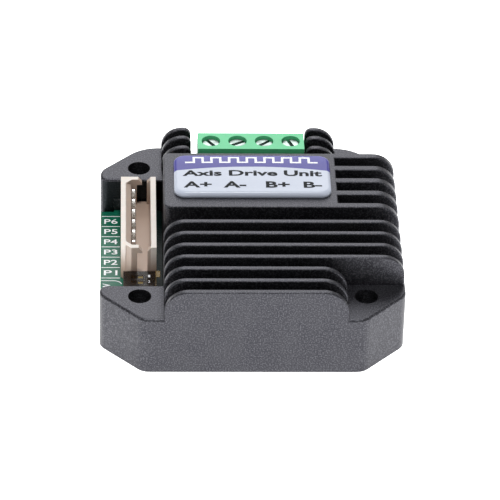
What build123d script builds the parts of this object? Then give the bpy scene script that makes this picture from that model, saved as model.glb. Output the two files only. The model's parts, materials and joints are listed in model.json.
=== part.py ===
"""Stepper motor driver module with a finned die-cast housing, in millimetres.

The origin is the centre of the four mounting holes on the base plane. +X points right, +Y towards the motor
terminal block and +Z up, away from the motor flange that the module is bolted to.
"""

import os

from build123d import *

os.makedirs("parts", exist_ok=True)

# Housing: a square slab with cut-off corners, fins and a raised label seat
body_size = 42.0
corner_leg = 5.9
corner_blend = 2.2
corner_back_blend = 5.8
slab_top = 8.8
roof_top = 13.4
rim_round = 0.4
half = body_size / 2
hole_spacing = 31.0
hole_r = 1.6

# Window in the left side that shows the signal header and the switches
window_x = -12.2
window_front = -12.9
window_back = 12.6
window_front_round = 1.2
window_back_round = 1.0

# Fins
fin_root = slab_top - 0.8
fin_edge = 0.2
fin_right_x = 20.85
front_pitch = 2.777
front_fin_t = 0.8
front_first_y = -4.02
front_full_count = 4
front_short_count = 2
front_right_x = 12.88
front_wall_t = 0.87
side_pitch = 3.07
side_fin_t = 1.1
side_first_y = -0.13
side_count = 5
shoulder_r = 3.0
tower_left = (-12.3, -8.05)
tower_right = (8.35, 12.7)
tower_inner_r = 1.1
tower_rows = ((15.12, 12.85), (17.9, 12.68), (20.6, 12.32))

# Label seat
seat_left = -12.1
seat_right = 12.25
seat_front = side_first_y - side_fin_t / 2
seat_back = side_first_y + (side_count - 1) * side_pitch + side_fin_t / 2
seat_round = 0.9

# Pocket for the circuit board, open at the bottom
wall_t = 1.25
ceiling = 7.3
seat_ceiling = 11.9
seat_wall = 1.4
seat_room_x = (-11.0, 11.1)
header_relief_x = (-19.2, window_x)
header_relief_y = (window_back - 1, 13.1)
header_relief_top = 5.5
pedestal_x = (-7.0, 5.0)
pedestal_y = (-11.6, -0.6)
pedestal_z = 5.0
arm_x = (-11.0, half - wall_t)
arm_x_y = (-12.4, 12.2)
arm_y_x = (-11.2, 11.4)
arm_y = (-(half - wall_t), half - wall_t)
sheet_t = 0.3
ledge_z = 0.4
ledge_w = 0.5

# Circuit board
board_t = 1.6
board_top = 3.3
board_bottom = board_top - board_t
board_gap = 0.2
board_left = -20.95
tail_end = 0.7
board_screw_xy = ((-8.6, -17.0), (8.8, -17.0), (17.2, 9.4))
board_screw_r = 1.0
board_screw_length = 4.6
board_screw_head_r = 1.8
board_screw_head_h = 1.05
board_screw_cross = (2.0, 0.45, 0.55)
boss_r = 2.1
boss_hole_depth = 3.2

# Parts on the board, inside the housing
driver_chip_x = (-6.0, 4.0)
driver_chip_y = (-11.1, -1.1)
driver_chip_h = 1.0
thermal_pad_x = (-6.5, 4.5)
thermal_pad_y = (-11.3, -0.9)
microcontroller_x = (9.0, 16.0)
microcontroller_y = (-8.5, -1.5)
microcontroller_h = 0.9
regulator_x = (11.6, 16.2)
regulator_y = (1.4, 3.9)
regulator_h = 1.5
opto_x = -9.0
opto_y = (-9.0, -1.5, 6.0)
opto_half = (1.3, 2.2)
opto_lift = 0.1
opto_h = 2.0
opto_lead_pitch = 1.28
opto_lead_w = 0.4
opto_lead_t = 0.15
opto_lead_reach = (2.2, 2.6, 2.75, 3.3)
opto_lead_z = 1.1
capacitor_xy = ((-1.6, 6.2), (5.9, 6.2))
capacitor_base = 6.6
capacitor_base_h = 0.9
capacitor_r = 3.15
capacitor_can_h = 6.6
sense_resistor_xy = ((-3.2, -15.4), (3.3, -15.4))
sense_resistor_size = (6.2, 3.2, 0.6)
chip_capacitor_size = (2.0, 1.25, 0.85)
front_capacitors = (0.2, -18.5, 2.9)
side_capacitors = (7.4, -6.0, 2.7)

# Signal header, 6 ways at 2.5 mm
header_pitch = 2.5
header_ways = 6
header_x = (-18.07, -13.12)
header_y = (-4.92, 12.48)
header_top = 9.4
header_floor = 5.1
header_wall_left = 0.65
header_lead_in = 0.76
header_wall_right = 0.79
header_wall_end = 0.7
pin_x = -16.28
pin_first_y = -2.47
pin_size = 0.64
pin_tip = 8.8

# Two-way switch block, 1.27 mm pitch
switch_pitch = 1.27
switch_x = (-17.7, -13.23)
switch_y = (-8.8, -5.1)
switch_top = 5.47
slider_first_y = -6.35
slider_y = (slider_first_y, slider_first_y - switch_pitch)
slider_x = (-15.68, -14.98)
slider_travel = 0.9
slider_floor = 4.6
film_t = 0.08

# Motor terminal block, 4 ways at 3.81 mm, with rising clamps
way_pitch = 3.81
ways = 4
block_left = -7.1
block_right = block_left + ways * way_pitch
block_top = 12.35
block_screw_y = 17.35
block_front = 14.6
block_crown = (15.3, 19.35)
block_rear = 21.6
front_ledge_drop = (1.0, 1.7)
rear_slope_drop = (0.9, 2.7)
block_base = board_top + 0.05
screw_head_r = 1.25
screw_shank_r = 0.8
screw_gap = 0.08
cage_x = 2.8
cage_y = 2.5
cage_z = (4.4, 8.9)
cage_travel = 1.6
bar_z = (7.0, 7.8)
way_x = [block_left + (n + 0.5) * way_pitch for n in range(ways)]


# Positions that follow from the driving dimensions
pin_y = [pin_first_y + n * header_pitch for n in range(header_ways)]
pin_hole_r = 0.5
pin_point = (0.12, 0.3)
header_well_y = (header_y[0] + header_wall_end, header_y[1] - header_wall_end)
header_corner = 1.45
header_well_x = header_x[0] + header_wall_left
header_well_corner = 0.9
header_slot_x = (-15.8, -14.37)
header_lip_x = -15.08
header_lip_z = header_top - 0.95
header_slot_flare = (0.55, 0.65)
tail_y = (15.1, 15.7)
tail_half = 0.45
tail_hole_r = 0.6
pin_solder_r = 0.85
tail_solder_r = 1.05
solder_h = 0.6
solder_taper = 35
bar_half = 0.8
bar_reach = 1.1
cage_side = 0.4
cage_floor = 0.8
cage_lid = 0.9
cage_ceiling = cage_z[1] + cage_travel + 0.1
wire_half = 1.3
wire_z = (4.9, 7.1)
screw_head_z = (cage_ceiling + 0.05, 11.92)
slot_angle = (-55, 30, 40, -69)
slot_w = 0.5
slot_depth = 0.6
slider_w = 0.6
slider_slot_w = 0.72
slider_slot_x = (slider_x[0] - slider_travel - 0.05, slider_x[1] + 0.05)
slider_top = 5.3
switch_lead_t = 0.15
switch_lead_w = 0.45
switch_lead_reach = 0.35
film_tab_x = -12.6
film_tab_y = (-6.5, -5.1)
label_x = (-10.65, 11.4)
label_y = (1.5, 11.2)
label_corner_r = 1.5
label_t = 0.9
label_dome_r = 0.6
board_outline = (
    ((board_left, arm_x[0] + 0.9), (window_front + 0.15, window_back - 0.15)),
    ((-19.05, window_x - 0.15), (window_back - 0.5, 12.95)),
    ((arm_x[0], arm_x[1] - 0.15), (arm_x_y[0] + 0.15, arm_x_y[1] - 0.15)),
    ((arm_y_x[0] + 0.15, arm_y_x[1] - 0.15), (arm_y[0] + 0.15, arm_y[1] - 0.15)),
)
sheet_outline = (
    ((board_left, arm_x[1] + ledge_w - 0.1), (window_front + 0.1, arm_x_y[1] + ledge_w - 0.2)),
    (
        (arm_y_x[0] - ledge_w + 0.1, arm_y_x[1] + ledge_w - 0.1),
        (arm_y[0] - ledge_w + 0.1, arm_y[1] + ledge_w - 0.1),
    ),
)


def finish(piece, name):
    """Label a finished piece and write its STEP file."""
    piece.label = name
    export_step(piece, f"parts/{name}.step")


def span(low_high):
    """Length of an interval."""
    return low_high[1] - low_high[0]


def middle(low_high):
    """Centre of an interval."""
    return (low_high[0] + low_high[1]) / 2


def block(x, y, z):
    """A box between the limits x, y and z in the active builder or on its own."""
    with BuildPart() as piece:
        with BuildSketch(Plane.XY.offset(z[0])):
            with Locations((middle(x), middle(y))):
                Rectangle(span(x), span(y))
        extrude(amount=span(z))
    return piece.part


def fin(x, y, thickness, top, left_r, right_r):
    """A cooling fin across X with shoulders of radius left_r and right_r, and its crown edges broken."""
    with BuildPart() as piece:
        with BuildSketch(Plane.XZ.offset(-y)):
            with BuildLine():
                Polyline((x[0], top - left_r), (x[0], fin_root), (x[1], fin_root), (x[1], top - right_r))
                if right_r > 0:
                    RadiusArc((x[1], top - right_r), (x[1] - right_r, top), -right_r)
                Line((x[1] - right_r, top), (x[0] + left_r, top))
                if left_r > 0:
                    RadiusArc((x[0] + left_r, top), (x[0], top - left_r), -left_r)
            make_face()
        extrude(amount=thickness / 2, both=True)
        across = piece.edges().filter_by(Axis.Y)
        crown = [e for e in piece.edges() if e not in across and e.center().Z > fin_root + 0.1]
        fillet(crown, fin_edge)
    return piece.part


front_fins = []
for row in range(front_full_count):
    fin_y = front_first_y - row * front_pitch
    front_fins.append(fin((window_x, fin_right_x), fin_y, front_fin_t, roof_top, shoulder_r, shoulder_r + 0.2))
for row in range(front_full_count, front_full_count + front_short_count):
    fin_y = front_first_y - row * front_pitch
    front_fins.append(
        fin((window_x, front_right_x), fin_y, front_fin_t, roof_top, shoulder_r, shoulder_r + 0.6)
    )
front_wall_y = -half + front_wall_t / 2
front_fins.append(
    fin((window_x, front_right_x), front_wall_y, front_wall_t, roof_top, shoulder_r + 0.4, shoulder_r + 0.6)
)
side_fins = []
for row in range(side_count):
    fin_y = side_first_y + row * side_pitch
    side_fins.append(fin((seat_right - 1.5, fin_right_x), fin_y, side_fin_t, roof_top, 0, shoulder_r + 0.2))
tower_fins = []
for tower_y, tower_top in tower_rows:
    tower_fins.append(fin(tower_left, tower_y, front_fin_t, tower_top, shoulder_r, tower_inner_r))
    tower_fins.append(fin(tower_right, tower_y, front_fin_t, tower_top, tower_inner_r, shoulder_r))

with BuildPart() as label_seat:
    with BuildSketch(Plane.XY.offset(fin_root)):
        with Locations((middle((seat_left, seat_right)), middle((seat_front, seat_back)))):
            Rectangle(seat_right - seat_left, seat_back - seat_front)
        fillet(vertices().group_by(Axis.X)[0], seat_round)
    extrude(amount=roof_top - fin_root)
    fillet(label_seat.faces().sort_by(Axis.Z)[-1].edges(), fin_edge)

with BuildPart() as heatsink_housing:
    with BuildSketch():
        Rectangle(body_size, body_size)
        chamfer(vertices(), corner_leg)
        fillet(vertices().group_by(Axis.Y)[-1], corner_back_blend)
        fillet(vertices().filter_by(lambda v: v.Y < half - corner_leg + 0.1), corner_blend)
    extrude(amount=slab_top)
    with BuildSketch():
        with Locations(((-half - 5 + window_x) / 2, middle((window_front, window_back)))):
            Rectangle(window_x + half + 5, window_back - window_front)
    extrude(amount=slab_top, mode=Mode.SUBTRACT)
    uprights = heatsink_housing.edges().filter_by(Axis.Z)
    mouth = uprights.filter_by(lambda e: abs(e.center().X + half) < 0.1)
    fillet(mouth.filter_by(lambda e: abs(e.center().Y - window_front) < 0.1), window_front_round)
    uprights = heatsink_housing.edges().filter_by(Axis.Z)
    mouth = uprights.filter_by(lambda e: abs(e.center().X + half) < 0.1)
    fillet(mouth.filter_by(lambda e: abs(e.center().Y - window_back) < 0.1), window_back_round)
    fillet(heatsink_housing.faces().sort_by(Axis.Z)[-1].edges(), rim_round)
    add(label_seat.part)
    add(front_fins)
    add(side_fins)
    add(tower_fins)
    # mounting holes
    with Locations((0, 0, slab_top)):
        with GridLocations(hole_spacing, hole_spacing, 2, 2):
            Hole(hole_r)
    # pocket for the board, with room for tall parts under the label seat
    add(block(arm_x, arm_x_y, (0, ceiling)), mode=Mode.SUBTRACT)
    add(block(arm_y_x, arm_y, (0, ceiling)), mode=Mode.SUBTRACT)
    add(
        block(seat_room_x, (seat_front + seat_wall, seat_back - seat_wall), (0, seat_ceiling)),
        mode=Mode.SUBTRACT,
    )
    # passage of the board under the window wall
    add(
        block((window_x - 1, arm_x[0] + 1), (window_front, window_back), (0, board_top + board_gap)),
        mode=Mode.SUBTRACT,
    )
    add(block(header_relief_x, header_relief_y, (0, header_relief_top)), mode=Mode.SUBTRACT)
    # step for the insulating sheet
    for x, y in (((window_x - 1 + ledge_w, arm_x[1]), arm_x_y), (arm_y_x, arm_y)):
        add(
            block((x[0] - ledge_w, x[1] + ledge_w), (y[0] - ledge_w, y[1] + ledge_w), (0, ledge_z)),
            mode=Mode.SUBTRACT,
        )
    # opening for the terminal block
    add(
        block((tower_left[1], tower_right[0]), (seat_back, half + 1), (board_top - 0.1, roof_top)),
        mode=Mode.SUBTRACT,
    )
    # pad that the driver chip is pressed against, and bosses for the board screws
    add(block(pedestal_x, pedestal_y, (pedestal_z, ceiling + 0.1)))
    with BuildSketch(Plane.XY.offset(board_top)):
        with Locations(*board_screw_xy):
            Circle(boss_r)
    extrude(amount=ceiling - board_top + 0.1)
    with BuildSketch(Plane.XY.offset(board_top)):
        with Locations(*board_screw_xy):
            Circle(board_screw_r + 0.02)
    extrude(amount=boss_hole_depth, mode=Mode.SUBTRACT)
finish(heatsink_housing.part, "heatsink_housing")

with BuildPart() as circuit_board:
    with BuildSketch(Plane.XY.offset(board_bottom)):
        for x, y in board_outline:
            with Locations((middle(x), middle(y))):
                Rectangle(span(x), span(y))
    extrude(amount=board_t)
    with Locations(*[(pin_x, y, board_top) for y in pin_y]):
        Hole(pin_hole_r)
    with Locations(*[(x, middle(tail_y), board_top) for x in way_x]):
        Hole(tail_hole_r)
    with Locations(*[(x, y, board_top) for x, y in board_screw_xy]):
        Hole(board_screw_r + 0.15)
finish(circuit_board.part, "circuit_board")

with BuildPart() as insulating_sheet:
    with BuildSketch(Plane.XY.offset(ledge_z - sheet_t)):
        for x, y in sheet_outline:
            with Locations((middle(x), middle(y))):
                Rectangle(span(x), span(y))
    extrude(amount=sheet_t)
finish(insulating_sheet.part, "insulating_sheet")

with BuildPart() as name_label:
    with BuildSketch(Plane.XY.offset(roof_top)):
        with Locations((middle(label_x), middle(label_y))):
            RectangleRounded(span(label_x), span(label_y), label_corner_r)
    extrude(amount=label_t)
    fillet(name_label.faces().sort_by(Axis.Z)[-1].edges(), label_dome_r)
finish(name_label.part, "name_label")

# Signal header
with BuildPart() as signal_header_housing:
    with BuildSketch(Plane.XY.offset(board_top)):
        with Locations((middle(header_x), middle(header_y))):
            Rectangle(span(header_x), span(header_y))
        chamfer(vertices().sort_by(Axis.X)[:2].sort_by(Axis.Y)[0], header_corner)
    extrude(amount=header_top - board_top)
    with BuildSketch(Plane.XZ.offset(-header_well_y[0])):
        with BuildLine():
            Polyline(
                (header_well_x, header_top),
                (header_well_x + header_lead_in, header_top - header_lead_in),
                (header_well_x + header_lead_in, header_floor),
                (header_x[1] - header_wall_right, header_floor),
                (header_x[1] - header_wall_right, header_top),
                close=True,
            )
        make_face()
    extrude(amount=-span(header_well_y), mode=Mode.SUBTRACT)
    # diagonal corners on the latch side of the well
    with BuildSketch(Plane.XY.offset(header_floor)):
        for y, reach in zip(header_well_y, (header_well_corner, -header_well_corner)):
            with BuildLine():
                Polyline(
                    (header_well_x, y),
                    (header_well_x + header_well_corner, y),
                    (header_well_x, y + reach),
                    close=True,
                )
            make_face()
    extrude(amount=header_top - header_floor)
    # polarising slots through both end walls, with a lip and a flared mouth
    with BuildSketch(Plane.XZ.offset(1 - header_y[0])):
        with BuildLine():
            Polyline(
                (header_lip_x - header_slot_flare[0], header_top),
                (header_lip_x, header_top - header_slot_flare[1]),
                (header_lip_x, header_lip_z),
                (header_slot_x[0], header_lip_z),
                (header_slot_x[0], header_floor),
                (header_slot_x[1], header_floor),
                (header_slot_x[1], header_top - header_slot_flare[1]),
                (header_slot_x[1] + header_slot_flare[0], header_top),
                close=True,
            )
        make_face()
    extrude(amount=-span(header_y) - 2, mode=Mode.SUBTRACT)
    with BuildSketch(Plane.XY.offset(board_top)):
        with Locations(*[(pin_x, y) for y in pin_y]):
            Rectangle(pin_size + 0.02, pin_size + 0.02)
    extrude(amount=header_floor - board_top, mode=Mode.SUBTRACT)
finish(signal_header_housing.part, "signal_header_housing")

for n, y in enumerate(pin_y, start=1):
    with BuildPart() as signal_pin:
        with BuildSketch(Plane.XY.offset(tail_end)):
            with Locations((pin_x, y)):
                Rectangle(pin_size, pin_size)
        extrude(amount=pin_tip - tail_end)
        chamfer(signal_pin.faces().sort_by(Axis.Z)[-1].edges(), length=pin_point[1], length2=pin_point[0])
        chamfer(signal_pin.faces().sort_by(Axis.Z)[0].edges(), pin_point[0])
    finish(signal_pin.part, f"signal_pin_{n}")

# Two-way switch block
with BuildPart() as switch_body:
    add(block(switch_x, switch_y, (board_top + switch_lead_t, switch_top)))
    for y in slider_y:
        add(
            block(slider_slot_x, (y - slider_slot_w / 2, y + slider_slot_w / 2), (slider_floor, switch_top)),
            mode=Mode.SUBTRACT,
        )
finish(switch_body.part, "switch_body")

for n, y in enumerate(slider_y, start=1):
    with BuildPart() as switch_slider:
        add(block(slider_x, (y - slider_w / 2, y + slider_w / 2), (slider_floor + 0.03, slider_top)))
        fillet(switch_slider.faces().sort_by(Axis.Z)[-1].edges(), 0.1)
    finish(switch_slider.part, f"switch_slider_{n}")

with BuildPart() as switch_terminals:
    for x in (switch_x[0], switch_x[1]):
        for y in slider_y:
            add(
                block(
                    (x - switch_lead_reach, x + switch_lead_reach),
                    (y - switch_lead_w / 2, y + switch_lead_w / 2),
                    (board_top, board_top + switch_lead_t),
                )
            )
finish(switch_terminals.part, "switch_terminals")

with BuildPart() as switch_cover_film:
    add(block((switch_x[0] - 0.05, switch_x[1] + 0.05), switch_y, (switch_top, switch_top + film_t)))
    add(block((switch_x[1], film_tab_x), film_tab_y, (switch_top, switch_top + film_t)))
finish(switch_cover_film.part, "switch_cover_film")

# Motor terminal block
with BuildPart() as terminal_block_housing:
    with BuildSketch(Plane.YZ.offset(block_left)):
        with BuildLine():
            Polyline(
                (block_front, block_base),
                (block_front, block_top - front_ledge_drop[1]),
                (block_crown[0], block_top - front_ledge_drop[0]),
                (block_crown[0], block_top),
                (block_crown[1], block_top),
                (block_crown[1], block_top - rear_slope_drop[0]),
                (block_rear, block_top - rear_slope_drop[1]),
                (block_rear, block_base),
                close=True,
            )
        make_face()
    extrude(amount=block_right - block_left)
    for x in way_x:
        add(
            block(
                (x - cage_x / 2 - 0.1, x + cage_x / 2 + 0.1),
                (block_screw_y - cage_y / 2 - 0.1, block_screw_y + cage_y / 2 + 0.1),
                (cage_z[0] - 0.2, cage_ceiling),
            ),
            mode=Mode.SUBTRACT,
        )
        # wire entry at the rear, passage of the current bar, passage of its tail
        add(block((x - wire_half, x + wire_half), (block_screw_y, block_rear), wire_z), mode=Mode.SUBTRACT)
        add(
            block(
                (x - bar_half - 0.05, x + bar_half + 0.05),
                (tail_y[0] - 0.05, block_screw_y),
                (bar_z[0] - 0.05, bar_z[1] + 0.05),
            ),
            mode=Mode.SUBTRACT,
        )
        add(
            block(
                (x - tail_half - 0.05, x + tail_half + 0.05),
                (tail_y[0] - 0.05, tail_y[1] + 0.05),
                (block_base, bar_z[0]),
            ),
            mode=Mode.SUBTRACT,
        )
    with BuildSketch(Plane.XY.offset(cage_ceiling - 0.1)):
        with Locations(*[(x, block_screw_y) for x in way_x]):
            Circle(screw_head_r + screw_gap)
    extrude(amount=block_top - cage_ceiling + 0.1, mode=Mode.SUBTRACT)
    mouths = terminal_block_housing.faces().filter_by(lambda f: abs(f.center().Y - block_rear) < 0.01)[0]
    chamfer(mouths.inner_wires().edges(), 0.25)
finish(terminal_block_housing.part, "terminal_block_housing")

for n, x in enumerate(way_x, start=1):
    with BuildPart() as terminal_screw:
        with BuildSketch(Plane.XY.offset(bar_z[1] + 0.05)):
            with Locations((x, block_screw_y)):
                Circle(screw_shank_r)
        extrude(amount=screw_head_z[0] - bar_z[1] - 0.05)
        with BuildSketch(Plane.XY.offset(screw_head_z[0])):
            with Locations((x, block_screw_y)):
                Circle(screw_head_r)
        extrude(amount=span(screw_head_z))
        chamfer(terminal_screw.edges().filter_by(GeomType.CIRCLE).sort_by(Axis.Z)[-1], 0.12)
        with BuildSketch(Plane.XY.offset(screw_head_z[1])):
            with Locations(Location((x, block_screw_y), slot_angle[n - 1])):
                Rectangle(3 * screw_head_r, slot_w)
        extrude(amount=-slot_depth, mode=Mode.SUBTRACT)
    finish(terminal_screw.part, f"terminal_screw_{n}")
    with BuildPart() as terminal_clamp:
        add(
            block(
                (x - cage_x / 2, x + cage_x / 2),
                (block_screw_y - cage_y / 2, block_screw_y + cage_y / 2),
                cage_z,
            )
        )
        fillet(terminal_clamp.edges().filter_by(Axis.Y), 0.3)
        add(
            block(
                (x - cage_x / 2 + cage_side, x + cage_x / 2 - cage_side),
                (block_screw_y - cage_y, block_screw_y + cage_y),
                (cage_z[0] + cage_floor, cage_z[1] - cage_lid),
            ),
            mode=Mode.SUBTRACT,
        )
        with Locations((x, block_screw_y, cage_z[1])):
            Hole(screw_shank_r + 0.05, depth=cage_lid)
    finish(terminal_clamp.part, f"terminal_clamp_{n}")

with BuildPart() as terminal_contacts:
    for x in way_x:
        add(block((x - bar_half, x + bar_half), (tail_y[0], block_screw_y + bar_reach), bar_z))
        add(block((x - tail_half, x + tail_half), tail_y, (tail_end, bar_z[0])))
finish(terminal_contacts.part, "terminal_contacts")

# Solder cones under the board, round the pins and the terminal tails
with BuildPart() as solder_joints:
    with BuildSketch(Plane.XY.offset(board_bottom)):
        with Locations(*[(pin_x, y) for y in pin_y]):
            Circle(pin_solder_r)
        with Locations(*[(x, middle(tail_y)) for x in way_x]):
            Circle(tail_solder_r)
    extrude(amount=-solder_h, taper=solder_taper)
    with BuildSketch(Plane.XY.offset(board_bottom)):
        with Locations(*[(pin_x, y) for y in pin_y]):
            Rectangle(pin_size, pin_size)
        with Locations(*[(x, middle(tail_y)) for x in way_x]):
            Rectangle(2 * tail_half, span(tail_y))
    extrude(amount=-1.0, mode=Mode.SUBTRACT)
finish(solder_joints.part, "solder_joints")

with BuildPart() as board_screws:
    with BuildSketch(Plane.XY.offset(board_bottom)):
        with Locations(*board_screw_xy):
            Circle(board_screw_head_r)
    extrude(amount=-board_screw_head_h)
    chamfer(board_screws.faces().sort_by(Axis.Z)[:3].edges(), 0.25)
    with BuildSketch(Plane.XY.offset(board_bottom - board_screw_head_h)):
        with Locations(*board_screw_xy):
            Rectangle(board_screw_cross[0], board_screw_cross[1])
            Rectangle(board_screw_cross[1], board_screw_cross[0])
    extrude(amount=board_screw_cross[2], mode=Mode.SUBTRACT)
    with BuildSketch(Plane.XY.offset(board_bottom)):
        with Locations(*board_screw_xy):
            Circle(board_screw_r)
    extrude(amount=board_screw_length)
finish(board_screws.part, "board_screws")

# Parts on the board, inside the housing
chip_top = board_top + driver_chip_h
finish(block(driver_chip_x, driver_chip_y, (board_top, chip_top)), "driver_chip")
finish(block(thermal_pad_x, thermal_pad_y, (chip_top, pedestal_z)), "thermal_pad")
finish(
    block(microcontroller_x, microcontroller_y, (board_top, board_top + microcontroller_h)),
    "microcontroller",
)
finish(block(regulator_x, regulator_y, (board_top, board_top + regulator_h)), "voltage_regulator")

with BuildPart() as optocouplers:
    for y in opto_y:
        add(
            block(
                (opto_x - opto_half[0], opto_x + opto_half[0]),
                (y - opto_half[1], y + opto_half[1]),
                (board_top + opto_lift, board_top + opto_lift + opto_h),
            )
        )
    chamfer(optocouplers.faces().filter_by(Axis.Z).group_by(Axis.Z)[-1].edges(), 0.2)
finish(optocouplers.part, "optocouplers")

# Gull-wing leads: out of the body, down, and flat on the board
root, bend, heel, toe = opto_lead_reach
with BuildPart() as optocoupler_leads:
    for y in opto_y:
        for x in (opto_x - opto_lead_pitch / 2, opto_x + opto_lead_pitch / 2):
            for side in (-1, 1):
                with BuildSketch(Plane.YZ.offset(x - opto_lead_w / 2)):
                    with BuildLine():
                        Polyline(
                            (y + side * root, board_top + opto_lead_z),
                            (y + side * bend, board_top + opto_lead_z),
                            (y + side * heel, board_top + opto_lead_t),
                            (y + side * toe, board_top + opto_lead_t),
                            (y + side * toe, board_top),
                            (y + side * (heel - opto_lead_t), board_top),
                            (y + side * (bend - opto_lead_t), board_top + opto_lead_z - opto_lead_t),
                            (y + side * root, board_top + opto_lead_z - opto_lead_t),
                            close=True,
                        )
                    make_face()
                extrude(amount=opto_lead_w)
finish(optocoupler_leads.part, "optocoupler_leads")

with BuildPart() as capacitor_bases:
    with BuildSketch(Plane.XY.offset(board_top)):
        with Locations(*capacitor_xy):
            Rectangle(capacitor_base, capacitor_base)
    extrude(amount=capacitor_base_h)
    chamfer(capacitor_bases.edges().filter_by(Axis.Z).group_by(Axis.Y)[-1], 1.0)
finish(capacitor_bases.part, "capacitor_bases")

with BuildPart() as bulk_capacitors:
    with BuildSketch(Plane.XY.offset(board_top + capacitor_base_h)):
        with Locations(*capacitor_xy):
            Circle(capacitor_r)
    extrude(amount=capacitor_can_h)
    fillet(bulk_capacitors.faces().group_by(Axis.Z)[-1].edges(), 0.4)
finish(bulk_capacitors.part, "bulk_capacitors")

with BuildPart() as sense_resistors:
    with BuildSketch(Plane.XY.offset(board_top)):
        with Locations(*sense_resistor_xy):
            Rectangle(sense_resistor_size[0], sense_resistor_size[1])
    extrude(amount=sense_resistor_size[2])
finish(sense_resistors.part, "sense_resistors")

with BuildPart() as chip_capacitors:
    with BuildSketch(Plane.XY.offset(board_top)):
        with Locations(front_capacitors[:2]):
            with GridLocations(front_capacitors[2], 1, 4, 1):
                Rectangle(chip_capacitor_size[0], chip_capacitor_size[1])
        with Locations(side_capacitors[:2]):
            with GridLocations(1, side_capacitors[2], 1, 4):
                Rectangle(chip_capacitor_size[1], chip_capacitor_size[0])
    extrude(amount=chip_capacitor_size[2])
finish(chip_capacitors.part, "chip_capacitors")
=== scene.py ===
"""Looks of a finned stepper motor driver module, built round its CAD frame.

Lengths are metres with +Z up. The constant MM turns millimetres into metres.
"""

import json
import math

import bmesh
import bpy
import numpy as np
from mathutils import Matrix, Vector


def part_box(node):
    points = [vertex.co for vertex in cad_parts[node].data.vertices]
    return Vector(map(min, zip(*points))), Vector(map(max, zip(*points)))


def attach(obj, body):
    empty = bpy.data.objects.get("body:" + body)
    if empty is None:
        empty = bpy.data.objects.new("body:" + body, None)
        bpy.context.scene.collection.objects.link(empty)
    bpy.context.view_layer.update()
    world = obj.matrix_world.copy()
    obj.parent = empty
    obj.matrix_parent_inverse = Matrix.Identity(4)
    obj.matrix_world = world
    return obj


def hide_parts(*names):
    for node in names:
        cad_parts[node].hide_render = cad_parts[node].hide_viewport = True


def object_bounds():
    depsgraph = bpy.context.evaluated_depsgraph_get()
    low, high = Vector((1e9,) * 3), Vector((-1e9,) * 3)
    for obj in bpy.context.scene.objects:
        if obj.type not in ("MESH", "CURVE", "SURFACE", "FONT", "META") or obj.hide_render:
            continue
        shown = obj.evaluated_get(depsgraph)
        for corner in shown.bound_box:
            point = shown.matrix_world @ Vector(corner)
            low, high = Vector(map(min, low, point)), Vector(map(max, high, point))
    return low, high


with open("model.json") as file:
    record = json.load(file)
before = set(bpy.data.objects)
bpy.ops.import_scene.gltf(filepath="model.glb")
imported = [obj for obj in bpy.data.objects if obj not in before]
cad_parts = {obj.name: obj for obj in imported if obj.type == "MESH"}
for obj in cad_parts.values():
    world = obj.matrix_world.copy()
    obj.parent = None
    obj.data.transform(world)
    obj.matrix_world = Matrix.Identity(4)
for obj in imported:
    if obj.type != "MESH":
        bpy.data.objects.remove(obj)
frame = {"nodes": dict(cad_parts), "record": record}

MM = 0.001
cad_low, cad_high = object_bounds()
NODES = frame["nodes"]
BODY = "module_body"


# ---------------------------------------------------------------- mesh helpers


def new_piece(name, verts, faces, material, body=BODY, smooth=True):
    """A mesh object at the origin from arrays of corners and faces, riding on body."""
    mesh = bpy.data.meshes.new(name)
    mesh.from_pydata([tuple(v) for v in verts], [], [tuple(f) for f in faces])
    mesh.polygons.foreach_set("use_smooth", [smooth] * len(mesh.polygons))
    mesh.materials.append(material)
    piece = bpy.data.objects.new(name, mesh)
    bpy.context.scene.collection.objects.link(piece)
    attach(piece, body)
    return piece


def grid_faces(rows, columns, wrap=False):
    """Quads of a rows by columns grid of points; wrap joins the last column to the first."""
    r = np.arange(rows - 1)[:, None]
    c = np.arange(columns if wrap else columns - 1)[None, :]
    d = (c + 1) % columns
    near, far = r * columns, (r + 1) * columns
    quads = np.stack([near + c, near + d, far + d, far + c], axis=-1)
    return quads.reshape(-1, 4)


def clean_copy(node, name, material, edge=0.0, segments=2, body=BODY):
    """A merged copy of a CAD node, smooth across small angles.

    With edge above 0, flat faces are joined and the sharp edges are rounded by that width.
    """
    mesh = bpy.data.meshes.new(name)
    work = bmesh.new()
    work.from_mesh(NODES[node].data)
    bmesh.ops.remove_doubles(work, verts=work.verts, dist=0.002 * MM)
    if edge:
        bmesh.ops.dissolve_limit(work, angle_limit=math.radians(1), verts=work.verts, edges=work.edges)
    for face in work.faces:
        face.smooth = True
    for line in work.edges:
        line.smooth = len(line.link_faces) == 2 and line.calc_face_angle(0.0) < math.radians(32)
    work.to_mesh(mesh)
    work.free()
    mesh.materials.append(material)
    piece = bpy.data.objects.new(name, mesh)
    bpy.context.scene.collection.objects.link(piece)
    if edge:
        bevel = piece.modifiers.new("rounded edges", "BEVEL")
        bevel.width = edge
        bevel.segments = segments
        bevel.limit_method = "ANGLE"
        bevel.angle_limit = math.radians(35)
        bevel.harden_normals = True
    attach(piece, body)
    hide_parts(node)
    return piece


# -------------------------------------------------------------- shader helpers


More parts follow.
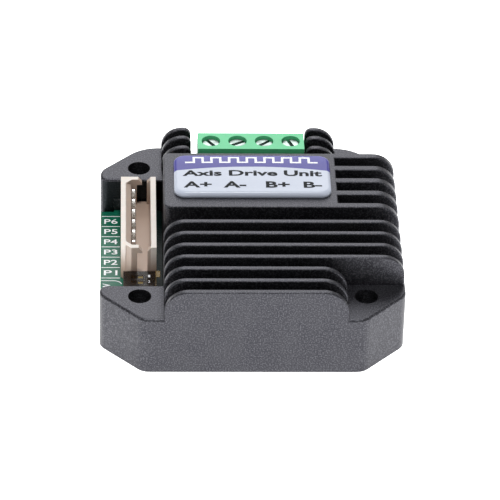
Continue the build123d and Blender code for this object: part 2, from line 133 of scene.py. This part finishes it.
class Wire:
    """A shader socket whose arithmetic adds Math nodes."""

    def __init__(self, finish, socket):
        self.finish = finish
        self.socket = socket

    def _math(self, operation, *values, clamp=False):
        return self.finish.node("ShaderNodeMath", {"operation": operation, "use_clamp": clamp}, *values)

    def __add__(self, other):
        return self._math("ADD", self, other)

    __radd__ = __add__

    def __sub__(self, other):
        return self._math("SUBTRACT", self, other)

    def __rsub__(self, other):
        return self._math("SUBTRACT", other, self)

    def __mul__(self, other):
        return self._math("MULTIPLY", self, other)

    __rmul__ = __mul__

    def __truediv__(self, other):
        return self._math("DIVIDE", self, other)

    def __gt__(self, other):
        return self._math("GREATER_THAN", self, other)

    def __lt__(self, other):
        return self._math("LESS_THAN", self, other)

    def __abs__(self):
        return self._math("ABSOLUTE", self)

    def clamped(self):
        """Itself, held between 0 and 1."""
        return self._math("ADD", self, 0.0, clamp=True)

    def ramp(self, low, high):
        """0 below low, 1 above high and smooth in between."""
        return self.finish.node(
            "ShaderNodeMapRange", {"interpolation_type": "SMOOTHSTEP"},
            **{"Value": self, "From Min": low, "From Max": high},
        )


class Finish:
    """A procedural material made of a Principled shader and named socket values."""

    def __init__(self, name, **sockets):
        self.material = bpy.data.materials.new(name)
        self.material.use_nodes = True
        self.tree = self.material.node_tree
        self.shader = self.tree.nodes["Principled BSDF"]
        self.set(**sockets)
        self._place = None

    def _plug(self, socket, value):
        if isinstance(value, Wire):
            self.tree.links.new(value.socket, socket)
        elif socket.type == "RGBA":
            socket.default_value = (*value, 1.0)
        else:
            socket.default_value = value

    def set(self, **sockets):
        """Sets sockets of the shader, an underscore standing for a space."""
        for name, value in sockets.items():
            self._plug(self.shader.inputs[name.replace("_", " ")], value)

    def node(self, kind, settings=None, *values, out=0, **sockets):
        """Adds a node, gives it its settings, then its sockets by order or by name, and returns an output."""
        made = self.tree.nodes.new(kind)
        for name, value in (settings or {}).items():
            setattr(made, name, value)
        for socket, value in zip(made.inputs, values):
            self._plug(socket, value)
        for name, value in sockets.items():
            self._plug(made.inputs[name], value)
        return Wire(self, made.outputs[out])

    @property
    def place(self):
        """Object coordinates."""
        if self._place is None:
            self._place = self.node("ShaderNodeTexCoord", out="Object")
        return self._place

    def axis(self, letter):
        """One object coordinate in millimetres."""
        parts = self.node("ShaderNodeSeparateXYZ", None, self.place, out=letter)
        return parts * (1 / MM)

    def stretched(self, shares):
        """Object coordinates multiplied by shares, which lengthens a pattern where a share is small."""
        return self.node("ShaderNodeVectorMath", {"operation": "MULTIPLY"}, self.place, shares)

    def noise(self, size, detail=2.0, roughness=0.5, place=None):
        """Noise from 0 to 1 with blobs about size metres across."""
        return self.node(
            "ShaderNodeTexNoise", {"noise_dimensions": "3D"},
            **{"Vector": place or self.place, "Scale": 1 / size, "Detail": detail, "Roughness": roughness},
        )

    def cells(self, size, randomness=1.0):
        """Distance to the nearest of scattered points about size metres apart."""
        return self.node(
            "ShaderNodeTexVoronoi", None,
            **{"Vector": self.place, "Scale": 1 / size, "Randomness": randomness},
        )

    def mix(self, mask, first, second):
        """The colour first where mask is 0 and second where it is 1."""
        made = self.tree.nodes.new("ShaderNodeMix")
        made.data_type = "RGBA"
        for socket, value in zip((0, 6, 7), (mask, first, second)):
            self._plug(made.inputs[socket], value)
        return Wire(self, made.outputs[2])

    def bump(self, height, depth, strength=1.0):
        """Feeds the normal with a height field depth metres deep."""
        self.set(Normal=self.node(
            "ShaderNodeBump", None, **{"Height": height, "Distance": depth, "Strength": strength}
        ))


# ------------------------------------------------------------- camera and light

CAMERA_AT = (-18.41 * MM, -412.7 * MM, 300.43 * MM)
CAMERA_YAW = math.radians(2.565)
CAMERA_DIP = math.radians(35.522)
CAMERA_ROLL = math.radians(1.622)
CAMERA_LENS = 259.9
WORLD_STRENGTH = 0.52
FLOOR_GLOW = 1.5
LIGHTS = (
    ("back_softbox", (0.0, 0.8, 0.62), 0.7, 4.4),
    ("overhead_strip", (0.0, -0.06, 0.8), 0.1, 2.4),
    ("front_fill", (-0.35, -0.75, 0.5), 0.3, 0.4),
)
FLOOR_REACH = 3.0


def place_camera():
    """A long lens in front of the module, yawed right, dipped and rolled a little."""
    ahead = Vector((
        math.sin(CAMERA_YAW) * math.cos(CAMERA_DIP),
        math.cos(CAMERA_YAW) * math.cos(CAMERA_DIP),
        -math.sin(CAMERA_DIP),
    ))
    level = Vector((math.cos(CAMERA_YAW), -math.sin(CAMERA_YAW), 0))
    above = level.cross(ahead)
    right = math.cos(CAMERA_ROLL) * level + math.sin(CAMERA_ROLL) * above
    top = right.cross(ahead)
    lens = bpy.data.cameras.new("camera")
    lens.lens = CAMERA_LENS
    lens.sensor_width = 36
    lens.clip_start = 0.01
    lens.clip_end = 20
    camera = bpy.data.objects.new("camera", lens)
    camera.matrix_world = Matrix.Translation(CAMERA_AT) @ Matrix((right, top, -ahead)).transposed().to_4x4()
    bpy.context.scene.collection.objects.link(camera)
    bpy.context.scene.camera = camera


def soft_light(name, place, aim, size, power):
    """A square studio light at place that points at aim."""
    lamp = bpy.data.lights.new(name, "AREA")
    lamp.size = size
    lamp.energy = power
    light = bpy.data.objects.new(name, lamp)
    light.location = place
    light.rotation_euler = (Vector(aim) - Vector(place)).to_track_quat("-Z", "Y").to_euler()
    bpy.context.scene.collection.objects.link(light)


def make_studio():
    """Dim white surroundings, a bright floor, and studio lights behind, overhead and in front."""
    world = bpy.data.worlds.new("studio")
    world.use_nodes = True
    world.node_tree.nodes["Background"].inputs["Color"].default_value = (1, 1, 1, 1)
    world.node_tree.nodes["Background"].inputs["Strength"].default_value = WORLD_STRENGTH
    bpy.context.scene.world = world
    bpy.context.scene.view_settings.view_transform = "Standard"
    for name, place, size, power in LIGHTS:
        soft_light(name, place, (0, 0, 0), size, power)
    mesh = bpy.data.meshes.new("floor")
    reach = FLOOR_REACH
    corners = [(-reach, -reach, 0), (reach, -reach, 0), (reach, reach, 0), (-reach, reach, 0)]
    mesh.from_pydata(corners, [], [(0, 1, 2, 3)])
    floor = bpy.data.objects.new("floor", mesh)
    floor.location.z = cad_low.z - 0.02 * MM
    white = Finish("floor_white", Base_Color=(0.9, 0.9, 0.9), Roughness=0.9)
    white.set(Emission_Color=(1.0, 1.0, 1.0), Emission_Strength=FLOOR_GLOW)
    mesh.materials.append(white.material)
    bpy.context.scene.collection.objects.link(floor)


# ----------------------------------------------------------------------- finishes


def charcoal_coat():
    """Charcoal coat with a metallic sheen and paler grains, and painted shade darkening the rear wall in the
    window.
    """
    f = Finish("charcoal_coat", Metallic=0.9, Specular_IOR_Level=0.4)
    grain = f.noise(0.2 * MM, detail=2.0).ramp(0.46, 0.66)
    cloud = f.noise(2.5 * MM, detail=3.0).ramp(0.3, 0.7)
    dark = f.mix(cloud, (0.04, 0.04, 0.047), (0.05, 0.05, 0.057))
    coat = f.mix(grain, dark, (0.107, 0.107, 0.12))
    x, y, z = (f.axis(letter) for letter in "XYZ")
    # Painted shade: low on the window's rear wall, beside the header, the coat is darkened to near black.
    window = (x < HEADER_HIGH.x / MM + 0.85) * (abs(y - WINDOW_WALL_Y) < 0.3) * (z < 8.45) * (z > 1.0)
    f.set(Base_Color=f.mix(window.clamped() * 0.85, coat, (0.004, 0.007, 0.008)))
    f.set(Roughness=0.38 + 0.1 * grain + 0.04 * cloud)
    peel = f.noise(0.22 * MM, detail=3.0)
    f.bump(peel + 0.5 * grain, 0.012 * MM, 0.5)
    return f.material


def green_mask():
    """Green solder mask over copper tracks, a pale edge, and painted shade on the board beside the header."""
    f = Finish("green_mask", Coat_Roughness=0.2, Specular_IOR_Level=0.25)
    x, y, z = (f.axis(letter) for letter in "XYZ")
    weave = f.noise(0.4 * MM, detail=4.0)
    slant = f.node("ShaderNodeMath", {"operation": "PINGPONG"}, x * 0.8 + y * 1.6, 1.0)
    track = abs(slant - 0.5).ramp(0.2, 0.28)
    pour = f.noise(3.2 * MM, detail=0.0).ramp(0.48, 0.52)
    copper = track * (1 - pour)
    mask = f.mix(copper, (0.002, 0.1, 0.058), (0.004, 0.14, 0.082))
    mask = f.mix(weave.ramp(0.3, 0.8), mask, (0.004, 0.125, 0.07))
    edge = (x < BOARD_LOW.x / MM + 0.05).clamped()
    # Painted shade: the board beside the header is darkened to near black, and its clear coat is taken off
    # there.
    header_side_painted_shade = (x > HEADER_HIGH.x / MM - 0.15).clamped()
    mask = f.mix(header_side_painted_shade * 0.95, mask, (0.002, 0.005, 0.006))
    f.set(Base_Color=f.mix(edge, mask, (0.42, 0.5, 0.3)), Roughness=0.3 + 0.15 * weave + 0.3 * edge)
    f.set(Coat_Weight=0.08 * (1 - edge) * (1 - header_side_painted_shade))
    f.bump(weave * 0.3 + copper, 0.02 * MM, 0.6)
    return f.material


def milky_sheet():
    """Milky polycarbonate film with faint drawn lines."""
    f = Finish("milky_sheet", Base_Color=(0.78, 0.79, 0.76))
    lines = f.noise(0.9 * MM, detail=5.0, place=f.stretched((1, 12, 1)))
    f.set(Base_Color=f.mix(lines, (0.7, 0.71, 0.68), (0.82, 0.83, 0.8)))
    f.set(Roughness=0.38 + 0.2 * lines, Alpha=0.86 + 0.08 * lines)
    f.bump(lines, 0.01 * MM, 0.5)
    return f.material


def label_print():
    """Printed label under clear domed resin: a pale field and a blue band with an arched lower edge, lighter
    towards its top by a painted reflection.
    """
    f = Finish("label_print", Coat_Weight=0.3, Coat_Roughness=0.15, Specular_IOR_Level=0.25)
    x, y, z = (f.axis(letter) for letter in "XYZ")
    middle_x = (LABEL_LOW.x + LABEL_HIGH.x) / 2 / MM
    half_x = (LABEL_HIGH.x - LABEL_LOW.x) / 2 / MM
    across = (x - middle_x) / half_x
    boundary = LABEL_LOW.y / MM + BAND_MIDDLE - BAND_DROP * across * across
    band = (y - boundary).ramp(-0.06, 0.06)
    # The band's blue is print; its lightening towards the top of the band is a painted reflection.
    depth = (y - LABEL_LOW.y / MM - BAND_MIDDLE) / (LABEL_HIGH.y / MM - LABEL_LOW.y / MM - BAND_MIDDLE)
    blue = f.mix(depth.ramp(0.1, 1.0), (0.02, 0.015, 0.24), (0.04, 0.035, 0.3))
    dots = f.cells(0.13 * MM, randomness=0.35).ramp(0.2, 0.55)
    field = f.mix(dots * 0.5, (0.52, 0.56, 0.65), (0.45, 0.495, 0.6))
    f.set(Base_Color=f.mix(band, field, blue))
    ripple = f.noise(1.6 * MM, detail=1.0)
    f.set(Roughness=0.3 + 0.1 * dots)
    f.bump(ripple, 0.03 * MM, 0.35)
    return f.material


def ink(name, colour, roughness=0.4):
    """Printing ink, a little uneven in tone."""
    f = Finish(name, Specular_IOR_Level=0.2)
    mottle = f.noise(0.25 * MM, detail=3.0)
    lighter = tuple(min(1.0, c * 1.2 + 0.005) for c in colour)
    f.set(Base_Color=f.mix(mottle.ramp(0.35, 0.75), colour, lighter), Roughness=roughness + 0.15 * mottle)
    f.bump(mottle, 0.004 * MM, 0.4)
    return f.material


def moulded(name, colour, pale, roughness=0.42, grain=0.16, depth=0.006, sheen=0.3):
    """Moulded plastic with a fine spark-eroded texture and slow clouds of tone."""
    f = Finish(name, Specular_IOR_Level=0.5)
    cloud = f.noise(2.2 * MM, detail=3.0).ramp(0.3, 0.7)
    texture = f.noise(grain * MM, detail=2.0)
    f.set(Base_Color=f.mix(cloud * 0.7 + texture * 0.3, colour, pale))
    f.set(Roughness=roughness + 0.16 * texture, Coat_Weight=sheen * (1 - cloud * 0.4))
    f.bump(texture, depth * MM, 0.6)
    return f.material


def natural_nylon():
    """Natural nylon, warm white and slightly waxy, with painted shade making it browner in its well and
    towards its foot.
    """
    f = Finish("natural_nylon", Subsurface_Weight=0.12, Subsurface_Scale=0.0006)
    f.shader.inputs["Subsurface Radius"].default_value = (1.0, 0.6, 0.4)
    z = f.axis("Z")
    # Painted shade: the nylon is darkened to brown towards its foot.
    foot_painted_shade = 1 - ((z - HEADER_LOW.z / MM) / ((HEADER_HIGH.z - HEADER_LOW.z) / MM)).ramp(0.25, 0.97)
    cloud = f.noise(1.4 * MM, detail=3.0)
    rim = f.mix(cloud.ramp(0.3, 0.7), (0.7, 0.645, 0.59), (0.76, 0.7, 0.645))
    x = f.axis("X")
    # Painted shade: inside the well, between the end walls and below the rim, the nylon is darkened to brown.
    well = (x > HEADER_LOW.x / MM + 0.68) * (x < HEADER_HIGH.x / MM - 0.82) * (z < HEADER_HIGH.z / MM - 0.08)
    tone = f.mix(foot_painted_shade * 0.9, rim, (0.44, 0.3, 0.225))
    f.set(Base_Color=f.mix(well * 0.8, tone, (0.46, 0.345, 0.275)))
    f.set(Roughness=0.36 + 0.2 * cloud)
    f.bump(f.noise(0.2 * MM) + cloud, 0.006 * MM, 0.5)
    return f.material


def metal(name, colour, bright, roughness=0.24, grain=0.12, depth=0.004, streak=(1, 1, 1)):
    """Plated metal with fine scratches or grain along streak and faint clouds of tarnish."""
    f = Finish(name, Metallic=1.0)
    scratch = f.noise(grain * MM, detail=4.0, roughness=0.65, place=f.stretched(streak))
    tarnish = f.noise(0.9 * MM, detail=3.0).ramp(0.4, 0.75)
    f.set(Base_Color=f.mix(tarnish * 0.8, bright, colour))
    f.set(Roughness=roughness + 0.18 * scratch + 0.1 * tarnish)
    f.bump(scratch, depth * MM, 0.5)
    return f.material


def amber_tape():
    """Dark see-through film with faint rub marks and a paler tab."""
    f = Finish("amber_tape", Specular_IOR_Level=0.2)
    rub = f.noise(0.5 * MM, detail=5.0, place=f.stretched((1, 6, 1)))
    tab = (f.axis("X") > SWITCH_HIGH.x / MM).clamped()
    amber = f.mix(rub.ramp(0.35, 0.75), (0.012, 0.006, 0.002), (0.05, 0.024, 0.006))
    f.set(Base_Color=f.mix(tab, amber, (0.3, 0.2, 0.07)))
    f.set(Roughness=0.12 + 0.16 * rub, Alpha=0.26 + 0.14 * rub + 0.3 * tab)
    f.bump(f.noise(1.1 * MM, detail=1.0), 0.03 * MM, 0.4)
    return f.material


def silicone_pad():
    """Soft grey-blue thermal silicone with a cloth-like surface."""
    f = Finish("silicone_pad")
    speck = f.cells(0.2 * MM).ramp(0.1, 0.5)
    f.set(Base_Color=f.mix(speck, (0.2, 0.26, 0.33), (0.32, 0.38, 0.45)), Roughness=0.7 + 0.2 * speck)
    f.bump(speck, 0.02 * MM, 0.5)
    return f.material


# ------------------------------------------------------------------------ new pieces


def ribbons(name, paths, width, thickness, surface, material):
    """Flat raised strips along paths of (x, y) points in metres.

    Each strip is a rectangle carried along its path: at a point with unit normals n1 and n2 of the runs on
    its two sides, the edge stands off by width / 2 along (n1 + n2) / (1 + n1 . n2), the mitre of the corner.
    surface(x, y) is the height that the strip lies on.
    """
    verts, faces, first = [], [], 0
    for path in paths:
        points = np.asarray(path, float)
        runs = np.diff(points, axis=0)
        runs /= np.linalg.norm(runs, axis=1)[:, None]
        normals = np.stack([-runs[:, 1], runs[:, 0]], axis=1)
        before = np.vstack([normals[:1], normals])
        after = np.vstack([normals, normals[-1:]])
        mitre = (before + after) / (1 + (before * after).sum(axis=1))[:, None] * width / 2
        sides = np.stack([points - mitre, points + mitre, points + mitre, points - mitre], axis=1)
        base = surface(sides[..., 0], sides[..., 1])
        lift = np.array([0.0, 0.0, thickness, thickness])
        section = np.concatenate([sides, (base + lift)[..., None]], axis=-1)
        count = len(points)
        verts.append(section.reshape(-1, 3))
        strip = grid_faces(count, 4, wrap=True)[:, ::-1] + first
        caps = np.array([[3, 2, 1, 0], [4 * count - 4, 4 * count - 3, 4 * count - 2, 4 * count - 1]]) + first
        faces.append(np.vstack([strip, caps[:, ::-1]]))
        first += 4 * count
    return new_piece(name, np.vstack(verts), np.vstack(faces), material, smooth=False)


def lettering(name, words, centre, size, material, surface, weight=0.0, turn=0.0):
    """Raised letters that fill size = (width, height) round centre, turned about +Z.

    They lie on the height surface(x, y).
    """
    curve = bpy.data.curves.new(name, "FONT")
    curve.body = words
    curve.offset = weight
    curve.extrude = 0.01
    curve.resolution_u = 4
    carrier = bpy.data.objects.new(name, curve)
    bpy.context.scene.collection.objects.link(carrier)
    bpy.context.view_layer.update()
    mesh = bpy.data.meshes.new_from_object(carrier)
    bpy.data.objects.remove(carrier)
    points = np.empty(len(mesh.vertices) * 3)
    mesh.vertices.foreach_get("co", points)
    points = points.reshape(-1, 3)
    low, high = points.min(axis=0), points.max(axis=0)
    flat = (points[:, :2] - (low + high)[:2] / 2) / (high - low)[:2] * np.array(size)
    cos, sin = math.cos(turn), math.sin(turn)
    x = centre[0] + flat[:, 0] * cos - flat[:, 1] * sin
    y = centre[1] + flat[:, 0] * sin + flat[:, 1] * cos
    z = surface(x, y) + (points[:, 2] - low[2]) / (high[2] - low[2]) * INK_T
    mesh.vertices.foreach_set("co", np.stack([x, y, z], axis=1).ravel())
    mesh.materials.clear()
    mesh.materials.append(material)
    piece = bpy.data.objects.new(name, mesh)
    bpy.context.scene.collection.objects.link(piece)
    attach(piece, BODY)
    return piece


def rounded_outline(low, high, radius, steps):
    """Points of a rounded rectangle, counter-clockwise.

    Each quarter arc is centre + radius (cos a, sin a).
    """
    corners = [(high.x, high.y, 0), (low.x, high.y, 1), (low.x, low.y, 2), (high.x, low.y, 3)]
    arcs = []
    for x, y, quarter in corners:
        angle = math.pi / 2 * (quarter + np.linspace(0, 1, steps))
        centre = np.array([x - math.copysign(radius, x - (low.x + high.x) / 2),
                           y - math.copysign(radius, y - (low.y + high.y) / 2)])
        arcs.append(centre + radius * np.stack([np.cos(angle), np.sin(angle)], axis=1))
    return np.vstack(arcs)


def dome_height(x, y):
    """Height of the domed label: its plateau with a crown of (1 - u^2)(1 - v^2) over the middle."""
    u = (x - (LABEL_LOW.x + LABEL_HIGH.x) / 2) / (LABEL_HIGH.x - LABEL_LOW.x) * 2
    v = (y - (LABEL_LOW.y + LABEL_HIGH.y) / 2) / (LABEL_HIGH.y - LABEL_LOW.y) * 2
    crown = DOME_CROWN * np.clip(1 - u**2, 0, 1) * np.clip(1 - v**2, 0, 1)
    return LABEL_HIGH.z - DOME_CROWN + crown


def domed_label():
    """The label as rings: a wall, a rim that follows a quarter of an ellipse inwards, and shrinking rings.

    On the rim, ring k has angle t from 0 to 90 degrees, stands in by DOME_RIM (1 - cos t) and has the share
    sin t of the dome's thickness above its wall. The inner rings scale the last one towards the middle.
    """
    wall = LABEL_LOW.z + 0.22 * MM
    outline = rounded_outline(LABEL_LOW, LABEL_HIGH, LABEL_CORNER, 12)
    middle = np.array([(LABEL_LOW.x + LABEL_HIGH.x) / 2, (LABEL_LOW.y + LABEL_HIGH.y) / 2])
    half = np.array([(LABEL_HIGH.x - LABEL_LOW.x) / 2, (LABEL_HIGH.y - LABEL_LOW.y) / 2])
    rings = [np.column_stack([outline, np.full(len(outline), LABEL_LOW.z)])]
    for t in np.linspace(0, math.pi / 2, 9):
        flat = middle + (outline - middle) * (half - DOME_RIM * (1 - math.cos(t))) / half
        top = dome_height(flat[:, 0], flat[:, 1])
        rings.append(np.column_stack([flat, wall + (top - wall) * math.sin(t)]))
    inner = rings[-1][:, :2]
    for share in np.linspace(1, 0, 14)[1:]:
        flat = middle + (inner - middle) * share
        rings.append(np.column_stack([flat, dome_height(flat[:, 0], flat[:, 1])]))
    count = len(outline)
    verts = np.vstack(rings + [np.array([[*middle, LABEL_LOW.z]] * count)])
    faces = grid_faces(len(rings), count, wrap=True)
    ring_one = np.arange(count)
    last = len(rings) * count
    ring_next = (ring_one + 1) % count
    base = np.stack([ring_one, last + ring_one, last + ring_next, ring_next], axis=1)
    piece = new_piece("domed_label", verts, np.vstack([faces, base]), FINISHES["label"])
    merge(piece.data)
    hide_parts("name_label")


def merge(mesh):
    """Joins points at the same place and drops the faces that this leaves with no area."""
    work = bmesh.new()
    work.from_mesh(mesh)
    bmesh.ops.remove_doubles(work, verts=work.verts, dist=1e-7)
    bmesh.ops.recalc_face_normals(work, faces=work.faces)
    work.to_mesh(mesh)
    work.free()


def label_marks():
    """Generic print on the label: a stepped pulse train in the band and two rows of plain words."""
    middle_x = (LABEL_LOW.x + LABEL_HIGH.x) / 2
    start = LABEL_LOW.x + 1.6 * MM
    low, high = LABEL_LOW.y + 7.55 * MM, LABEL_LOW.y + 8.75 * MM
    step = np.repeat(np.arange(PULSES + 1), 2)
    x = start + step[1:-1] * PULSE_STEP
    level = np.where(np.arange(2 * PULSES) // 2 % 2 == 0, low, high)
    across = np.concatenate([[start], x[1:], [start + PULSES * PULSE_STEP]])[: 2 * PULSES]
    wave = np.column_stack([across, level])
    ribbons("pulse_mark", [wave], 0.34 * MM, INK_T, dome_height, FINISHES["white_ink"])
    rows = ((LABEL_WORDS[0], 4.85, 1.4, 19.6), (LABEL_WORDS[1], 2.07, 1.5, 19.4))
    for n, (words, height, size, width) in enumerate(rows, start=1):
        lettering(
            f"label_words_{n}", words, (middle_x, LABEL_LOW.y + height * MM), (width * MM, size * MM),
            FINISHES["dark_ink"], dome_height, weight=0.03,
        )


def board_surface(x, y):
    """The board's top face."""
    return np.full(np.shape(x), BOARD_HIGH.z)


def board_marks():
    """White print beside the header and the switches.

    There is a line between the ways, a number in each way, and a curved line and two letters by the switches.
    """
    left, right = BOARD_LOW.x + 0.15 * MM, HEADER_LOW.x - 0.12 * MM
    first = PIN_LOW.y + PIN_LOW_HALF - HEADER_PITCH / 2
    lines = [[(left, first + n * HEADER_PITCH), (right, first + n * HEADER_PITCH)] for n in range(WAYS + 1)]
    turn = np.linspace(0.5 * math.pi, 0.1 * math.pi, 9)
    bow_x = right - 0.9 * MM + 1.2 * MM * np.cos(turn)
    bow_y = first - 1.75 * MM + 1.1 * MM * np.sin(turn)
    bow = np.column_stack([bow_x, bow_y])
    bow = np.vstack([[left, first - 0.65 * MM], bow])
    white = FINISHES["white_ink"]
    ribbons("board_lines", lines + [bow], 0.13 * MM, INK_T, board_surface, white)
    lettering(
        "switch_mark", "SW", (left + 0.75 * MM, first - 2.3 * MM), (1.9 * MM, 1.1 * MM), white,
        board_surface, weight=0.01, turn=math.pi / 2,
    )
    for n in range(WAYS):
        lettering(
            f"way_number_{n + 1}", WAY_MARKS[n], ((left + right) / 2, first + (n + 0.5) * HEADER_PITCH),
            (1.9 * MM, 1.15 * MM), white, board_surface, weight=0.01,
        )


def switch_numbers():
    """The numbers 1 and 2 beside the sliders, printed on the switch block."""
    top = SWITCH_HIGH.z + FILM_T

    def film_surface(x, y):
        return np.full(np.shape(x), top)

    for n in (1, 2):
        low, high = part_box(f"switch_slider_{n}")
        lettering(
            f"switch_number_{n}", str(n), (high.x + 0.84 * MM, (low.y + high.y) / 2), (0.3 * MM, 0.55 * MM),
            FINISHES["white_ink"], film_surface, weight=0.0,
        )


# ----------------------------------------------------------------------------- making

INK_T = 0.012 * MM
LABEL_LOW, LABEL_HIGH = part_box("name_label")
BOARD_LOW, BOARD_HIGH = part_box("circuit_board")
WINDOW_WALL_Y = 12.6
HEADER_LOW, HEADER_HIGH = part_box("signal_header_housing")
SWITCH_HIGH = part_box("switch_body")[1]
PIN_LOW, PIN_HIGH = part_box("signal_pin_1")
PIN_LOW_HALF = (PIN_HIGH.y - PIN_LOW.y) / 2
FILM_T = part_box("switch_cover_film")[1].z - SWITCH_HIGH.z
HEADER_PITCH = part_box("signal_pin_2")[0].y - PIN_LOW.y
WAYS = 6
WAY_MARKS = ("P1", "P2", "P3", "P4", "P5", "P6")
LABEL_WORDS = ("Axis Drive Unit", "A+  A-   B+  B-")
LABEL_CORNER = 1.5 * MM
DOME_RIM = 0.55 * MM
DOME_CROWN = 0.1 * MM
BAND_MIDDLE = 6.45
BAND_DROP = 0.95
PULSES = 15
PULSE_STEP = 1.25 * MM

place_camera()
make_studio()

FINISHES = {
    "housing": charcoal_coat(),
    "solder_mask": green_mask(),
    "insulating_sheet": milky_sheet(),
    "label": label_print(),
    "header_nylon": natural_nylon(),
    "switch_plastic": moulded("black_plastic", (0.014, 0.011, 0.012), (0.03, 0.026, 0.026), 0.38),
    "tinned_metal": metal("tinned_leads", (0.5, 0.49, 0.46), (0.72, 0.71, 0.68), 0.25),
    "amber_film": amber_tape(),
    "terminal_plastic": moulded("terminal_green", (0.085, 0.52, 0.235), (0.11, 0.6, 0.28), 0.4, sheen=0.15),
    "tinned_copper": metal("tinned_copper", (0.55, 0.5, 0.45), (0.75, 0.72, 0.68), 0.28),
    "solder": metal("solder", (0.45, 0.46, 0.47), (0.66, 0.67, 0.68), 0.2, grain=0.3, depth=0.01),
    "screw_steel": metal("zinc_plate", (0.42, 0.42, 0.44), (0.58, 0.58, 0.6), 0.3),
    "chip_resin": moulded("chip_resin", (0.012, 0.012, 0.013), (0.022, 0.022, 0.023), 0.5, grain=0.08),
    "thermal_pad": silicone_pad(),
    "optocoupler_resin": moulded("grey_resin", (0.045, 0.045, 0.047), (0.06, 0.06, 0.062), 0.5, grain=0.08),
    "capacitor_base": moulded("base_plastic", (0.02, 0.02, 0.02), (0.035, 0.035, 0.035), 0.5),
    "capacitor_can": metal("bare_can", (0.62, 0.63, 0.65), (0.76, 0.77, 0.79), 0.22, streak=(1, 1, 8)),
    "resistor_ceramic": moulded("resistor_glaze", (0.02, 0.02, 0.024), (0.035, 0.035, 0.04), 0.3),
    "capacitor_ceramic": moulded("fired_ceramic", (0.33, 0.23, 0.14), (0.42, 0.3, 0.19), 0.5),
    "signal_pin": metal("pin_tin", (0.62, 0.61, 0.58), (0.85, 0.84, 0.82), 0.16, streak=(1, 1, 0.2)),
    "slider_plastic": moulded("slider_plastic", (0.8, 0.52, 0.04), (0.88, 0.62, 0.08), 0.4),
    "terminal_screw": metal("bright_nickel", (0.2, 0.25, 0.23), (0.36, 0.42, 0.4), 0.26),
    "terminal_clamp": metal("cage_nickel", (0.5, 0.5, 0.47), (0.7, 0.7, 0.67), 0.28),
    "white_ink": ink("white_ink", (0.83, 0.85, 0.9)),
    "dark_ink": ink("dark_ink", (0.008, 0.01, 0.012), roughness=0.6),
}

SLOT_OF = {row["node"]: row["material_slot"] for row in frame["record"]["subparts"]}

# Nodes shown as clean copies, with the width in millimetres of their broken edges
ROUNDED = {
    "signal_header_housing": 0.09,
    "terminal_block_housing": 0.12,
    "switch_body": 0.06,
    "circuit_board": 0.03,
    "optocouplers": 0.08,
    "driver_chip": 0.08,
    "microcontroller": 0.08,
    "voltage_regulator": 0.08,
    "terminal_contacts": 0.06,
    "sense_resistors": 0.06,
    "chip_capacitors": 0.08,
    **{f"terminal_screw_{n}": 0.04 for n in range(1, 5)},
    **{f"terminal_clamp_{n}": 0.06 for n in range(1, 5)},
    **{f"signal_pin_{n}": 0.04 for n in range(1, 7)},
}
BODY_OF = {
    node: body for body, members in frame["record"]["behaviour"]["bodies"].items() for node in members
}

for node, obj in NODES.items():
    finish = FINISHES[SLOT_OF[node]]
    if node in ROUNDED:
        clean_copy(
            node, f"{node}_shown", finish, edge=ROUNDED[node] * MM, body=BODY_OF[node]
        )
    else:
        obj.data.materials.clear()
        obj.data.materials.append(finish)

domed_label()
label_marks()
board_marks()
switch_numbers()
